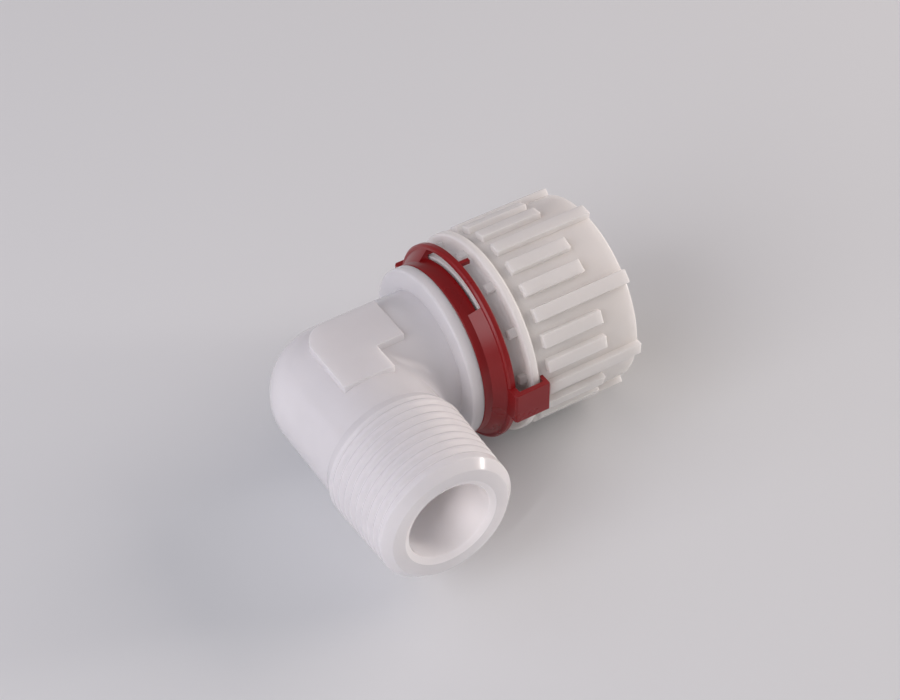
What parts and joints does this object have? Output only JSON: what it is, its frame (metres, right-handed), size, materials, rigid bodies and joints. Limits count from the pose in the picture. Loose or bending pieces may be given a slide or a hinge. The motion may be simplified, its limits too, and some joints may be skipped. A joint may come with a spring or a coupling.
{
  "type": "male elbow fitting",
  "caption": "Moulded fluoropolymer elbow with a tapered male pipe thread on one leg and a ribbed tube nut with a red hooked locking ring on the other.",
  "frame": {"origin": "centre of the end face of the tapered pipe thread", "axes": "+X out of the threaded end along its axis, +Y along the tube leg towards the nut, +Z out of the flat pad"},
  "size_m": [0.0586, 0.066, 0.039],
  "materials": {
    "body": "moulded, waxy satin",
    "ring": "moulded, satin",
    "nut": "moulded, translucent natural"
  },
  "bodies": {
    "elbow": {"elbow_body": "body"},
    "ring": {"locking_ring": "ring"},
    "nut": {"tube_nut": "nut"}
  },
  "joints": [
    {"name": "ring_slide", "type": "slide", "parent": "elbow", "child": "ring", "axis": [0, 1, 0], "range_m": [0, 0.009]},
    {"name": "nut_turn", "type": "hinge", "parent": "ring", "child": "nut", "pos_m": [-0.0376, 0.038, 0], "axis": [0, 1, 0], "range_deg": [0, 1080]}
  ],
  "couplings": [
    {"joint": "ring_slide", "follows": "nut_turn", "m_per_rad": 0.00047746}
  ]
}
